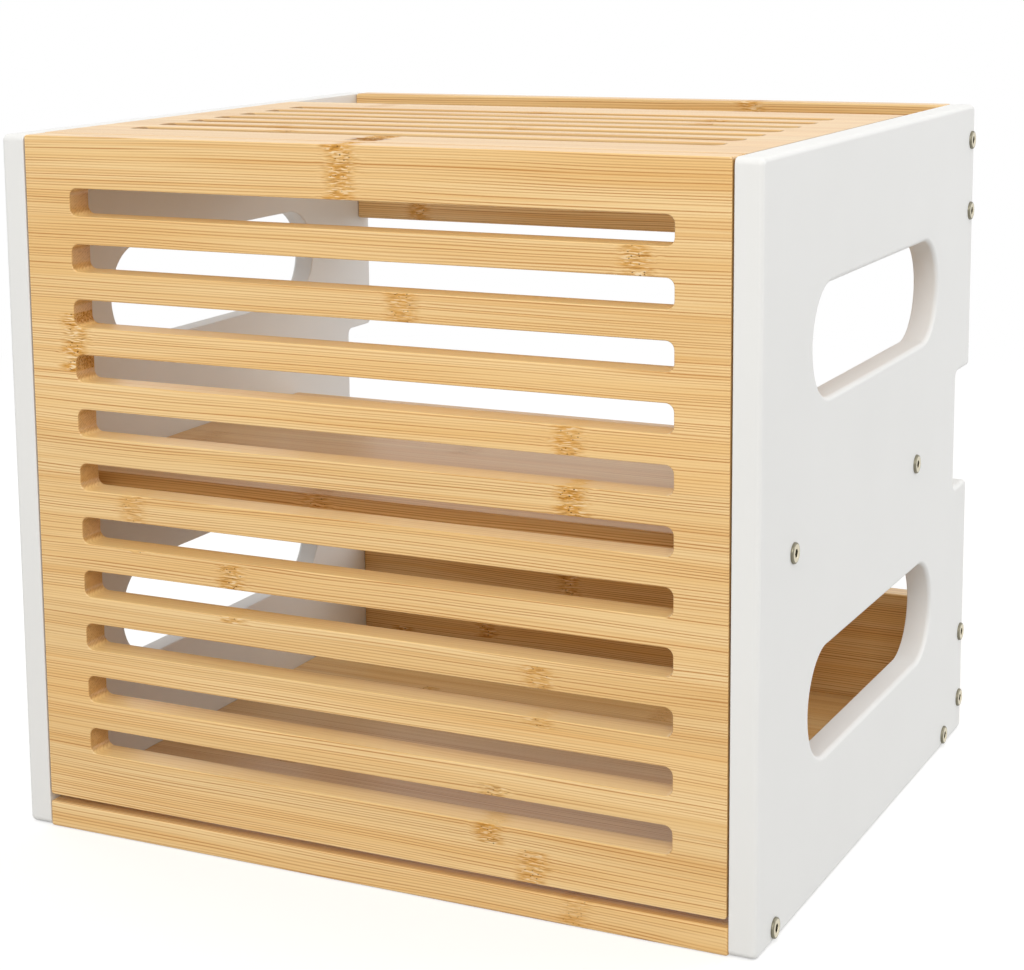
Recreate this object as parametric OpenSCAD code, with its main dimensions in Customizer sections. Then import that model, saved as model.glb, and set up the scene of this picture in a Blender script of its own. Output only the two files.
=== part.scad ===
// Router storage box. Two white side panels with handle cut-outs carry bamboo
// boards, a slatted top and a slatted front door that drops open on pivot pins.
// Millimetres. The origin is the middle of the footprint, on the floor.
// +X points right as seen from the front, +Y to the rear and +Z up.

/* [Box] */
// Width over both side panels
box_w = 300; // [250:1:360]
// Depth from the door's face to the rear edge
box_d = 264; // [230:1:320]
// Height from the floor to the top
box_h = 270; // [255:1:330]

/* [Panels and boards] */
// Thickness of the white side panels
side_t = 10; // [9:0.5:14]
// Thickness of the bamboo boards
board_t = 10; // [9:0.5:13]
// Radius on the eased edges of the side panels
edge_r = 1.8; // [0.5:0.1:2.5]
// Radius of the side panels' corners
corner_r = 2.5; // [1:0.1:6]
// Radius on the eased edges of the bamboo boards
board_edge_r = 0.8; // [0.4:0.1:2]
// Radius of the bamboo boards' corners
board_corner_r = 1.2; // [0.5:0.1:5]

/* [Front door] */
// Thickness of the door
door_t = 12; // [10:0.5:14]
// Gap between the door and each side panel
door_side_gap = 0.6; // [0.4:0.1:3]
// Solid height above the top slot and below the lowest one
door_margin = 19.3; // [18:0.1:26]
// Solid width from the door's side edges to the ends of the slots
stile_w = 19.7; // [16:0.1:30]
// Distance from the door's face back to the pivot axis
pivot_setback = 4; // [3.5:0.1:5]
// Height of the pivot axis above the door's lower edge
pivot_rise = 7.5; // [6:0.5:11]
// Clearance left over the bottom board as the door's lower corner turns
turn_gap = 2; // [0.5:0.1:3]

/* [Slots] */
// Number of slots in the door
door_slots = 11; // [4:1:12]
// Height of a door slot
door_slot_h = 10.4; // [8:0.1:14]
// Number of slots in the top panel
top_slots = 7; // [3:1:8]
// Width of a top slot
top_slot_w = 10; // [8:0.1:13]
// Solid width from the top panel's front and rear edges to its slots
top_margin = 27; // [20:0.5:36]
// Radius of a slot's corners
slot_r = 3; // [1.5:0.1:3.8]
// Radius of the eased rim round each slot
slot_rim = 0.5; // [0.3:0.1:1.2]

/* [Shelf, rails and gaps] */
// Open gap between the top panel and the rear top rail
antenna_gap = 59; // [40:1:75]
// Height of the shelf's underside above the floor
shelf_z = 128; // [112:1:146]
// Distance from the door's face back to the shelf's front edge
shelf_setback = 24; // [18:1:50]
// Height of the rear top rail and of the lower back board
rail_h = 58.5; // [44:0.5:75]

/* [Side cut-outs] */
// Length of a handle cut-out
handle_l = 158; // [110:1:180]
// Height of a handle cut-out
handle_h = 40.5; // [28:0.5:44]
// Distance of a handle's centre from mid-height
handle_offset = 65.5; // [58:0.5:78]
// Height of the cable notch in the rear edge
notch_h = 49.5; // [30:0.5:56]
// Depth of the cable notch
notch_d = 21; // [12:0.5:26]
// Radius of the notch's inner corners
notch_r = 3; // [2:0.1:8]

/* [Screws] */
// Diameter of the screw shank
screw_d = 4; // [3.5:0.1:4.8]
// Length of the screw under its head
screw_l = 34; // [24:1:44]
// Diameter of the screw head
head_d = 7.5; // [6.5:0.1:9]
// Height of the head above the side panel
head_h = 1; // [0.8:0.1:1.8]
// Radius on the rim of the head
head_r = 0.6; // [0.3:0.1:0.7]
// Width of the hex socket across its flats
socket_af = 2.9; // [2:0.1:3]
// Depth of the hex socket
socket_depth = 2.2; // [1.4:0.1:3]
// Distance from a rail's long edges to its screws
rail_screw_inset = 14.5; // [8:0.5:18]
// Distance from the shelf's front and rear edges to its screws
shelf_screw_inset = 10.5; // [8:0.5:30]
// Distance from the bottom board's front and rear edges to its screws
bottom_screw_inset = 18.5; // [10:0.5:40]

/* [Pins, dowels and catch] */
// Diameter of the door's pivot pins
pin_d = 4; // [3:0.1:4.6]
// Depth of a pivot pin in its side panel
pin_seat = 6.5; // [5:0.1:7.5]
// Length of a pivot pin inside the door
pin_reach = 11.5; // [8:0.1:14]
// Diameter of the dowels that hold the top panel
dowel_d = 6; // [4:0.1:7]
// Depth of a dowel in its side panel
dowel_seat = 6; // [5:0.1:7.5]
// Length of a dowel inside the top panel
dowel_reach = 14; // [8:0.1:15]
// Distance from the top panel's front and rear edges to its dowels
dowel_inset = 30; // [15:1:60]
// Diameter of the catch magnets and of their strike plates
magnet_d = 6; // [4:0.1:6.6]
// Length of a catch magnet
magnet_l = 5; // [3:0.1:8]
// Height of a magnet in front of the top panel's edge
magnet_proud = 0.5; // [0.2:0.1:1]
// Thickness of a strike plate
strike_t = 1.5; // [1:0.1:3]
// Distance from the inner faces of the side panels to the magnets
magnet_inset = 40; // [25:1:90]

/* [Clearances] */
// Radial clearance of the pivot pins in the door
pivot_clear = 0.05; // [0.02:0.01:0.1]
// Radial clearance round glued and driven pieces
seat_clear = 0.02; // [0.01:0.01:0.05]
// Radial clearance of the screws in the side panels
screw_clear = 0.15; // [0.05:0.05:0.3]
// Clearance at the blind end of a hole
end_clear = 0.5; // [0.2:0.1:1]
// Gap between a magnet and its strike plate with the door closed
catch_gap = 0.3; // [0.2:0.1:0.6]

/* [Hidden] */
$fn = 48;
// Overrun of every cutter past the face it leaves
over = 1;

front_y = -box_d / 2;
rear_y = box_d / 2;
inner_x = box_w / 2 - side_t;
inner_w = 2 * inner_x;

// The gap under the door is what its lower front corner needs to turn past
// the bottom board.
turn_radius = norm([pivot_setback, pivot_rise]);
door_z = board_t + turn_radius - pivot_rise + turn_gap;
door_h = box_h - door_z;
door_w = inner_w - 2 * door_side_gap;
door_back_y = front_y + door_t;
door_pitch = (door_h - 2 * door_margin - door_slot_h) / (door_slots - 1);
slot_l = door_w - 2 * stile_w;
pivot_y = front_y + pivot_setback;
pivot_z = door_z + pivot_rise;

// The top panel stands off the door by the magnets' reach.
top_y = door_back_y + catch_gap + magnet_proud;
top_end_y = rear_y - board_t - antenna_gap;
top_l = top_end_y - top_y;
top_mid_z = box_h - board_t / 2;
top_pitch = (top_l - 2 * top_margin - top_slot_w) / (top_slots - 1);
dowel_ys = [top_y + dowel_inset, top_end_y - dowel_inset];
magnet_x = inner_x - magnet_inset;

// The shelf's rear edge lines up with the top panel's.
shelf_y = front_y + shelf_setback;
shelf_l = top_end_y - shelf_y;
shelf_mid_z = shelf_z + board_t / 2;
bottom_l = box_d - board_t;
rail_mid_y = rear_y - board_t / 2;

// Screw places on the side panels, as [y, z]
shelf_screws = [
    [shelf_y + shelf_screw_inset, shelf_mid_z],
    [top_end_y - shelf_screw_inset, shelf_mid_z]
];
bottom_screws = [
    [front_y + bottom_screw_inset, board_t / 2],
    [front_y + bottom_l - bottom_screw_inset, board_t / 2]
];
top_rail_screws = [
    [rail_mid_y, box_h - rail_screw_inset],
    [rail_mid_y, box_h - rail_h + rail_screw_inset]
];
back_board_screws = [
    [rail_mid_y, rail_screw_inset],
    [rail_mid_y, rail_h - rail_screw_inset]
];

paint_white = "#E8E7E3";
bamboo = "#DDB675";
nickel = "#B5AE98";
steel = "#9A9A98";
beech = "#CFA46B";

// Rectangle with round corners, centred
module rounded_rect(w, h, r) {
    square([w - 2 * r, h], center = true);
    square([w, h - 2 * r], center = true);
    for (sx = [-1, 1], sy = [-1, 1])
        translate([sx * (w / 2 - r), sy * (h / 2 - r)])
            circle(r);
}

// Centred block with every edge rounded; r gives the radii of the edges that
// run along X, Y and Z
module eased_block(size, r) {
    intersection() {
        rotate([90, 0, 90])
            linear_extrude(size[0], center = true)
                rounded_rect(size[1], size[2], r[0]);
        rotate([90, 0, 0])
            linear_extrude(size[1], center = true)
                rounded_rect(size[0], size[2], r[1]);
        linear_extrude(size[2], center = true)
            rounded_rect(size[0], size[1], r[2]);
    }
}

// Board that lies flat, l long across the box
module flat_board(l, depth) {
    eased_block([l, depth, board_t], [board_edge_r, board_edge_r, board_corner_r]);
}

// Board that stands on edge, l long across the box and t thick
module upright_board(l, t, height) {
    eased_block([l, t, height], [board_edge_r, board_corner_r, board_edge_r]);
}

// Round bar along X from x to x + l
module bar_x(x, l, d) {
    translate([x, 0, 0])
        rotate([0, 90, 0])
            cylinder(d = d, h = l);
}

// Round bar along Y from y to y + l
module bar_y(y, l, d) {
    translate([0, y, 0])
        rotate([-90, 0, 0])
            cylinder(d = d, h = l);
}

// Half of the section of a cutter through a board of thickness t: it is a wide
// at mid-thickness and opens by a rounded rim of radius e at both faces
module cutter_half(a, t, e) {
    difference() {
        translate([0, -t / 2 - over])
            square([a + e, t + 2 * over]);
        translate([a, -t / 2 + e])
            square([2 * e, t - 2 * e]);
        for (s = [-1, 1])
            translate([a + e, s * (t / 2 - e)])
                circle(e);
    }
}

// The same section, both halves
module cutter_section(a, t, e) {
    cutter_half(a, t, e);
    mirror([1, 0])
        cutter_half(a, t, e);
}

// Cutter for an opening l by w with corners of radius c and eased rims; the
// opening lies in the XY plane and the board's thickness t along Z
module eased_cutter(l, w, c, t, e) {
    rows = w > 2 * c ? [-1, 1] : [0];
    for (sx = [-1, 1], sy = rows)
        translate([sx * (l / 2 - c), sy * (w / 2 - c), 0])
            rotate_extrude()
                cutter_half(c, t, e);
    rotate([90, 0, 90])
        linear_extrude(l - 2 * c, center = true)
            cutter_section(w / 2, t, e);
    if (w > 2 * c)
        rotate([90, 0, 0])
            linear_extrude(w - 2 * c, center = true)
                cutter_section(l / 2, t, e);
}

// Blank of the right side panel, all edges eased
module side_blank() {
    translate([inner_x + side_t / 2, 0, box_h / 2])
        eased_block([side_t, box_d, box_h], [corner_r, edge_r, edge_r]);
}

// Opening through the right side panel, centred at [y, z]
module side_cut(y, z, l, w, c) {
    translate([inner_x + side_t / 2, y, z])
        rotate([90, 0, 90])
            eased_cutter(l, w, c, side_t, edge_r);
}

// Right side panel: two handles, a cable notch and the holes of its fittings
module side_panel() {
    difference() {
        side_blank();
        for (s = [-1, 1])
            side_cut(0, box_h / 2 + s * handle_offset, handle_l, handle_h, handle_h / 2);
        side_cut(rear_y, box_h / 2, 2 * notch_d, notch_h, notch_r);
        for (p = concat(shelf_screws, bottom_screws, top_rail_screws, back_board_screws))
            translate([0, p[0], p[1]])
                bar_x(inner_x - over, side_t + 2 * over, screw_d + 2 * screw_clear);
        for (y = dowel_ys)
            translate([0, y, top_mid_z])
                bar_x(inner_x - over, dowel_seat + over, dowel_d + 2 * seat_clear);
        translate([0, pivot_y, pivot_z])
            bar_x(inner_x - over, pin_seat + over, pin_d + 2 * seat_clear);
    }
}

// Pilot holes in both ends of a board, at the screw places given
module pilot_holes(places) {
    depth = screw_l - side_t + end_clear;
    for (p = places, m = [0, 1])
        mirror([m, 0, 0])
            translate([0, p[0], p[1]])
                bar_x(inner_x - depth, depth + over, screw_d + 2 * seat_clear);
}

// Screws of the right side panel at the places given
module side_screws(places) {
    for (p = places)
        translate([box_w / 2, p[0], p[1]])
            rotate([0, 90, 0])
                screw();
}

// Low-headed screw along -Z, its head resting on the XY plane
module screw() {
    difference() {
        union() {
            rotate_extrude()
                screw_head_half();
            translate([0, 0, -screw_l])
                cylinder(d = screw_d, h = screw_l + head_h / 2);
        }
        translate([0, 0, head_h - socket_depth])
            cylinder(d = socket_af / cos(30), h = socket_depth + over, $fn = 6);
    }
}

// Half of the head's section, its outer rim rounded
module screw_head_half() {
    square([head_d / 2 - head_r, head_h]);
    square([head_d / 2, head_h - head_r]);
    translate([head_d / 2 - head_r, head_h - head_r])
        intersection() {
            circle(head_r);
            square(head_r);
        }
}

// Pivot pin of the right side, seated in the side panel
module pivot_pin() {
    translate([0, pivot_y, pivot_z])
        bar_x(door_w / 2 - pin_reach, pin_reach + door_side_gap + pin_seat, pin_d);
}

// Dowels between the top panel and the right side panel
module top_dowels() {
    for (y = dowel_ys)
        translate([0, y, top_mid_z])
            bar_x(inner_x - dowel_reach, dowel_reach + dowel_seat, dowel_d);
}

// Magnet in the right of the top panel's front edge
module catch_magnet() {
    translate([magnet_x, 0, top_mid_z])
        bar_y(top_y - magnet_proud, magnet_l, magnet_d);
}

// Steel disc in the right of the door's inner face, facing the magnet
module strike_plate() {
    translate([magnet_x, 0, top_mid_z])
        bar_y(door_back_y - strike_t, strike_t, magnet_d);
}

module left_side_panel() {
    color(paint_white)
        mirror([1, 0, 0])
            side_panel();
}

module right_side_panel() {
    color(paint_white)
        side_panel();
}

module bottom_board() {
    color(bamboo)
        difference() {
            translate([0, front_y + bottom_l / 2, board_t / 2])
                flat_board(inner_w, bottom_l);
            pilot_holes(bottom_screws);
        }
}

module lower_back_board() {
    color(bamboo)
        difference() {
            translate([0, rail_mid_y, rail_h / 2])
                upright_board(inner_w, board_t, rail_h);
            pilot_holes(back_board_screws);
        }
}

module rear_top_rail() {
    color(bamboo)
        difference() {
            translate([0, rail_mid_y, box_h - rail_h / 2])
                upright_board(inner_w, board_t, rail_h);
            pilot_holes(top_rail_screws);
        }
}

module middle_shelf() {
    color(bamboo)
        difference() {
            translate([0, shelf_y + shelf_l / 2, shelf_mid_z])
                flat_board(inner_w, shelf_l);
            pilot_holes(shelf_screws);
        }
}

module top_panel() {
    hole_l = dowel_reach + end_clear;
    first_y = top_y + top_margin + top_slot_w / 2;
    color(bamboo)
        difference() {
            translate([0, top_y + top_l / 2, top_mid_z])
                flat_board(inner_w, top_l);
            for (i = [0 : top_slots - 1])
                translate([0, first_y + i * top_pitch, top_mid_z])
                    eased_cutter(slot_l, top_slot_w, slot_r, board_t, slot_rim);
            for (y = dowel_ys, m = [0, 1])
                mirror([m, 0, 0])
                    translate([0, y, top_mid_z])
                        bar_x(inner_x - hole_l, hole_l + over, dowel_d + 2 * seat_clear);
            for (s = [-1, 1])
                translate([s * magnet_x, 0, top_mid_z])
                    bar_y(top_y - over, magnet_l - magnet_proud + over, magnet_d + 2 * seat_clear);
        }
}

module front_door() {
    bore_l = pin_reach + end_clear;
    first_z = door_z + door_margin + door_slot_h / 2;
    color(bamboo)
        difference() {
            translate([0, front_y + door_t / 2, door_z + door_h / 2])
                upright_board(door_w, door_t, door_h);
            for (i = [0 : door_slots - 1])
                translate([0, front_y + door_t / 2, first_z + i * door_pitch])
                    rotate([90, 0, 0])
                        eased_cutter(slot_l, door_slot_h, slot_r, door_t, slot_rim);
            for (m = [0, 1])
                mirror([m, 0, 0])
                    translate([0, pivot_y, pivot_z])
                        bar_x(door_w / 2 - bore_l, bore_l + over, pin_d + 2 * pivot_clear);
            for (s = [-1, 1])
                translate([s * magnet_x, 0, top_mid_z])
                    bar_y(door_back_y - strike_t, strike_t + over, magnet_d + 2 * seat_clear);
        }
}

module left_pivot_pin() {
    color(steel)
        mirror([1, 0, 0])
            pivot_pin();
}

module right_pivot_pin() {
    color(steel)
        pivot_pin();
}

module left_catch_magnet() {
    color(nickel)
        mirror([1, 0, 0])
            catch_magnet();
}

module right_catch_magnet() {
    color(nickel)
        catch_magnet();
}

module left_strike_plate() {
    color(steel)
        mirror([1, 0, 0])
            strike_plate();
}

module right_strike_plate() {
    color(steel)
        strike_plate();
}

module left_top_dowels() {
    color(beech)
        mirror([1, 0, 0])
            top_dowels();
}

module right_top_dowels() {
    color(beech)
        top_dowels();
}

module left_shelf_screws() {
    color(nickel)
        mirror([1, 0, 0])
            side_screws(shelf_screws);
}

module right_shelf_screws() {
    color(nickel)
        side_screws(shelf_screws);
}

module left_bottom_screws() {
    color(nickel)
        mirror([1, 0, 0])
            side_screws(bottom_screws);
}

module right_bottom_screws() {
    color(nickel)
        side_screws(bottom_screws);
}

module left_top_rail_screws() {
    color(nickel)
        mirror([1, 0, 0])
            side_screws(top_rail_screws);
}

module right_top_rail_screws() {
    color(nickel)
        side_screws(top_rail_screws);
}

module left_back_board_screws() {
    color(nickel)
        mirror([1, 0, 0])
            side_screws(back_board_screws);
}

module right_back_board_screws() {
    color(nickel)
        side_screws(back_board_screws);
}

left_side_panel();
right_side_panel();
bottom_board();
lower_back_board();
rear_top_rail();
middle_shelf();
top_panel();
front_door();
left_pivot_pin();
right_pivot_pin();
left_catch_magnet();
right_catch_magnet();
left_strike_plate();
right_strike_plate();
left_top_dowels();
right_top_dowels();
left_shelf_screws();
right_shelf_screws();
left_bottom_screws();
right_bottom_screws();
left_top_rail_screws();
right_top_rail_screws();
left_back_board_screws();
right_back_board_screws();
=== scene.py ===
# %% [markdown]
# # A slatted storage box in Blender
# The box is made of two white painted side panels that carry boards of laminated
# bamboo, with a slatted top and a slatted front door that drops open.
# The CAD model gives every place and size. It is loaded first and is never moved:
# each piece below is modelled around it, in metres, in the same frame.

# %% Load the frame
import math
import random

import bmesh
import bpy
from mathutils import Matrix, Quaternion, Vector


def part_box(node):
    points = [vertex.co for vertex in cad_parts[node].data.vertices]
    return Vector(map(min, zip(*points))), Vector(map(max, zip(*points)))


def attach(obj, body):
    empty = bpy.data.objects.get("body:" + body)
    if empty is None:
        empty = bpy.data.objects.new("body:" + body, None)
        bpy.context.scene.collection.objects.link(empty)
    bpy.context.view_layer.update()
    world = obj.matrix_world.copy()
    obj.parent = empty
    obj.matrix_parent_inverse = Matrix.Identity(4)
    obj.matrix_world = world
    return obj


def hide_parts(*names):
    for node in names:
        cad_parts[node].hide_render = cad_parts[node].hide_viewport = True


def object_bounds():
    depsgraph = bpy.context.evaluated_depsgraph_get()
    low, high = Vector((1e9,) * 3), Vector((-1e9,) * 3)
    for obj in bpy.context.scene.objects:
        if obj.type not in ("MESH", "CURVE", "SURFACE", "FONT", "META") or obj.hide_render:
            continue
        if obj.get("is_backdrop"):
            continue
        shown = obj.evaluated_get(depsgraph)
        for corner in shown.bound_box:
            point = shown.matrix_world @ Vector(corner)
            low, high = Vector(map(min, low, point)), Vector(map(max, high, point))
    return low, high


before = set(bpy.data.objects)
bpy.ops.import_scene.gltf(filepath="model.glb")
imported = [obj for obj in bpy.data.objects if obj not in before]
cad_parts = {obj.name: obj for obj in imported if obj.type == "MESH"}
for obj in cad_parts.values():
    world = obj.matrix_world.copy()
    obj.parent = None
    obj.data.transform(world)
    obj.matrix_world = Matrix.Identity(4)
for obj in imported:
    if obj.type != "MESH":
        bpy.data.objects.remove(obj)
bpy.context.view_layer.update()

MM = 0.001

# %% [markdown]
# ## The camera
# The view is from the front, a little to the right of the box and above it, through
# a long lens. A camera could be placed by eye until the corners agree, but here the
# angles were worked out from the box's own corners, so they are written as numbers.
# The small shift slides the picture in its frame without turning the camera.

# %% Camera
AZIMUTH, ELEVATION, ROLL = (math.radians(a) for a in (27.034, 9.394, -0.69))
CAMERA_PLACE = (0.3926, -0.827, 0.3363)
LENS_MM, SHIFT_X, SHIFT_Y = 81.24, 0.06, -0.15

bpy.ops.object.select_all(action="DESELECT")
bpy.ops.object.camera_add(location=CAMERA_PLACE)
camera = bpy.context.active_object
flat = math.cos(ELEVATION)
towards = Vector((-math.sin(AZIMUTH) * flat, math.cos(AZIMUTH) * flat, -math.sin(ELEVATION)))
aim = towards.to_track_quat("-Z", "Y") @ Quaternion((0, 0, 1), ROLL)
camera.rotation_euler = aim.to_euler()
camera.data.lens = LENS_MM
camera.data.shift_x, camera.data.shift_y = SHIFT_X, SHIFT_Y
bpy.context.scene.camera = camera
print("camera at", [round(v, 3) for v in camera.location])

# %% [markdown]
# ## Blanks
# A joiner makes every board here in the same few steps: saw a blank, cut openings
# through it, and round over the edges. Each step is one small function around
# Blender's own operators. An operator works on whatever is selected, so each function
# first makes its piece the only selected one. The place of a blank is applied to its
# mesh, so every object stays at the origin and the patterns on it can't slide.

# %% Blanks


def solo(piece):
    """Makes one object the selected and active one."""
    bpy.ops.object.select_all(action="DESELECT")
    piece.select_set(True)
    bpy.context.view_layer.objects.active = piece


def settle(name):
    """Names the new primitive and moves its place into its mesh."""
    bpy.ops.object.transform_apply(location=True, rotation=True, scale=True)
    piece = bpy.context.active_object
    piece.name = piece.data.name = name
    return piece


def blank(name, low, high):
    """A cube stretched between two corners."""
    bpy.ops.object.select_all(action="DESELECT")
    size = [h - l for l, h in zip(low, high)]
    middle = [(h + l) / 2 for l, h in zip(low, high)]
    bpy.ops.mesh.primitive_cube_add(size=1, location=middle, scale=size)
    return settle(name)


def rod(name, start, axis, length, radius, sides):
    """A cylinder that runs from start along an axis."""
    bpy.ops.object.select_all(action="DESELECT")
    turn = Vector((0, 0, 1)).rotation_difference(Vector(axis)).to_euler()
    middle = Vector(start) + Vector(axis) * length / 2
    bpy.ops.mesh.primitive_cylinder_add(
        vertices=sides, radius=radius, depth=length, location=middle, rotation=turn
    )
    return settle(name)


# %% [markdown]
# ## Rounded edges
# Sandpaper and milling bits round only some of a board's edges. A Bevel modifier would
# take them all, so each edge is put to a test, and the bevel operator rounds those that
# pass, in edit mode. An edge is sharp where the surface turns by more than 50 degrees:
# a finished round-over turns in smaller steps, so no edge is rounded twice.

# %% Rounded edges
SHARP = math.radians(50)
PARALLEL = 0.999
X, Y, Z = 0, 1, 2


def is_sharp(edge):
    """A test for edges where two faces meet at a sharp angle."""
    return len(edge.link_faces) == 2 and edge.calc_face_angle() > SHARP


def runs_along(axis):
    """A test for edges that run along one axis."""
    return lambda edge: abs((edge.verts[1].co - edge.verts[0].co).normalized()[axis]) > PARALLEL


def round_over(piece, radius, wanted, steps):
    """Bevels the edges that pass a test, in edit mode."""
    solo(piece)
    bpy.ops.object.mode_set(mode="EDIT")
    bpy.ops.mesh.select_mode(type="EDGE")
    bpy.ops.mesh.select_all(action="DESELECT")
    mesh = bmesh.from_edit_mesh(piece.data)
    chosen = [edge for edge in mesh.edges if wanted(edge)]
    for edge in chosen:
        edge.select_set(True)
    bmesh.update_edit_mesh(piece.data)
    bpy.ops.mesh.bevel(offset=radius, segments=steps, affect="EDGES", loop_slide=False)
    bpy.ops.object.mode_set(mode="OBJECT")
    print(f"{piece.name}: {len(chosen)} edges rounded to {radius / MM:.2f} mm")


# %% [markdown]
# ## Openings
# A hole has the shape of the tool that cut it. Faces could be deleted and the hole's walls
# bridged by hand, but a cutter is closer to the real work: it is a piece of its own, an
# Array modifier copies it where a hole repeats, and a Boolean modifier takes it out of
# the board. Both are applied at once, so the rim of the hole can be rounded next.

# %% Openings
OVER = 4 * MM  # how far a cutter reaches past the surface that it enters


def repeat(cutter, count, step):
    """Copies a cutter in a row."""
    solo(cutter)
    row = cutter.modifiers.new("row", "ARRAY")
    row.count = count
    row.use_relative_offset = False
    row.use_constant_offset = True
    row.constant_offset_displace = step
    bpy.ops.object.modifier_apply(modifier=row.name)


def carve(piece, *cutters):
    """Takes cutters out of a piece, and throws them away."""
    for cutter in cutters:
        solo(piece)
        cut = piece.modifiers.new("cut", "BOOLEAN")
        cut.operation = "DIFFERENCE"
        cut.solver = "EXACT"
        cut.object = cutter
        bpy.ops.object.modifier_apply(modifier=cut.name)
        bpy.data.objects.remove(cutter)


# %% [markdown]
# ## Finishing a mesh
# After the cutting, a mesh has wide flat faces beside narrow rounded ones. Plain
# smooth shading would bend the light across the flats. Sharp corners are marked by
# their angle, and a Weighted Normal modifier then lets the wide faces decide, so
# flats stay flat and only the round-overs look round.

# %% Finish, and a piece put in place of its CAD node
SMOOTH = math.radians(40)
SAME_POINT = 0.001 * MM


def finish_mesh(piece):
    """Closes the mesh, turns its faces outwards and shades it."""
    solo(piece)
    bpy.ops.object.mode_set(mode="EDIT")
    bpy.ops.mesh.select_all(action="SELECT")
    bpy.ops.mesh.remove_doubles(threshold=SAME_POINT)
    bpy.ops.mesh.normals_make_consistent(inside=False)
    bpy.ops.object.mode_set(mode="OBJECT")
    bpy.ops.object.shade_smooth_by_angle(angle=SMOOTH)
    weight = piece.modifiers.new("weight", "WEIGHTED_NORMAL")
    weight.keep_sharp = True
    bpy.ops.object.modifier_apply(modifier=weight.name)
    print(f"{piece.name}: {len(piece.data.polygons)} faces")


def stand_for(piece, body, node):
    """Rides a piece on its body, in place of a CAD node, which it hides."""
    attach(piece, body)
    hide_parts(node)


# %% [markdown]
# ## Handle holes
# Each side of the box has two long holes to lift it by. Such a hole could be a scaled
# circle, but its ends would stretch: instead one half of a cylinder is moved away from
# the other, which leaves two true half circles joined by straight walls.

# %% Handle holes
HANDLE_LENGTH, HANDLE_HEIGHT, HANDLE_SIDES = 158 * MM, 40.5 * MM, 96


def handle_cutter(low, high, z):
    """A stadium-shaped bar through a panel with these corners, at height z."""
    cutter = rod("handle", (low.x - OVER, 0, z), (1, 0, 0), high.x - low.x + 2 * OVER,
                 HANDLE_HEIGHT / 2, HANDLE_SIDES)
    stretch = (HANDLE_LENGTH - HANDLE_HEIGHT) / 2
    bpy.ops.object.mode_set(mode="EDIT")
    for side in (-1, 1):
        bpy.ops.mesh.select_all(action="DESELECT")
        mesh = bmesh.from_edit_mesh(cutter.data)
        for vert in mesh.verts:
            vert.select_set(vert.co.y * side > SAME_POINT)
        mesh.select_flush(True)
        bmesh.update_edit_mesh(cutter.data)
        bpy.ops.transform.translate(value=(0, side * stretch, 0))
    bpy.ops.object.mode_set(mode="OBJECT")
    return cutter


print(f"handle holes: {HANDLE_LENGTH / MM:.1f} x {HANDLE_HEIGHT / MM:.1f} mm")

# %% [markdown]
# ## The white side panels
# Each side is a painted board with two handle holes and a notch in its rear edge. Its
# openings are cut first. The rims of the outer face are then rounded together, as a
# milling bit does in one pass, and those of the inner face are only broken with
# sandpaper, so the door meets a crisp white line.

# %% Side panels
PANEL_CORNER, PANEL_EDGE, PANEL_INNER = 2.5 * MM, 1.8 * MM, 0.5 * MM
HANDLE_OFFSET = 65.5 * MM
NOTCH_HEIGHT, NOTCH_DEPTH, NOTCH_CORNER, NOTCH_MOUTH = 49.5 * MM, 21 * MM, 3 * MM, 2 * MM


def side_panel(name, node):
    """A painted side with its handle holes and its notch."""
    low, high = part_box(node)
    middle = (low.z + high.z) / 2
    half_way = abs(low.x + high.x) / 2
    panel = blank(name, low, high)
    round_over(panel, PANEL_CORNER, runs_along(X), steps=6)
    notch = blank("notch", (low.x - OVER, high.y - NOTCH_DEPTH, middle - NOTCH_HEIGHT / 2),
                  (high.x + OVER, high.y + OVER, middle + NOTCH_HEIGHT / 2))
    round_over(notch, NOTCH_CORNER,
               lambda e: runs_along(X)(e) and e.verts[0].co.y < high.y, steps=6)
    carve(panel, handle_cutter(low, high, middle - HANDLE_OFFSET),
          handle_cutter(low, high, middle + HANDLE_OFFSET), notch)
    # The notch's mouth is all that is still sharp along X.
    round_over(panel, NOTCH_MOUTH, lambda e: runs_along(X)(e) and is_sharp(e), steps=4)
    round_over(panel, PANEL_EDGE,
               lambda e: is_sharp(e) and abs(e.verts[0].co.x) > half_way, steps=4)
    round_over(panel, PANEL_INNER, is_sharp, steps=3)
    finish_mesh(panel)
    stand_for(panel, "cabinet", node)
    return panel


panels = [side_panel("panel_left", "left_side_panel"),
          side_panel("panel_right", "right_side_panel")]

# %% [markdown]
# ## The plain bamboo boards
# The floor, the shelf and the two rails at the rear are straight lengths of bamboo
# board with every edge eased by sanding. One bevel over all edges would give the corners
# the same small radius, so it is done in two: first the four corners of the broad face,
# then all edges that are still sharp.

# %% Floor, shelf and rails
BOARD_CORNER, BOARD_EDGE = 1.2 * MM, 0.8 * MM
LYING, UPRIGHT = Z, Y


def eased_board(name, node, through, edge):
    """A board with rounded corners; its thickness runs along the axis `through`."""
    board = blank(name, *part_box(node))
    round_over(board, BOARD_CORNER, runs_along(through), steps=4)
    round_over(board, edge, is_sharp, steps=4)
    return board


plain_boards = {}
for name, node, through in (("floor_board", "bottom_board", LYING),
                            ("shelf", "middle_shelf", LYING),
                            ("rail_rear", "rear_top_rail", UPRIGHT),
                            ("board_rear", "lower_back_board", UPRIGHT)):
    plain_boards[name] = eased_board(name, node, through, BOARD_EDGE)
    finish_mesh(plain_boards[name])
    stand_for(plain_boards[name], "cabinet", node)

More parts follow.
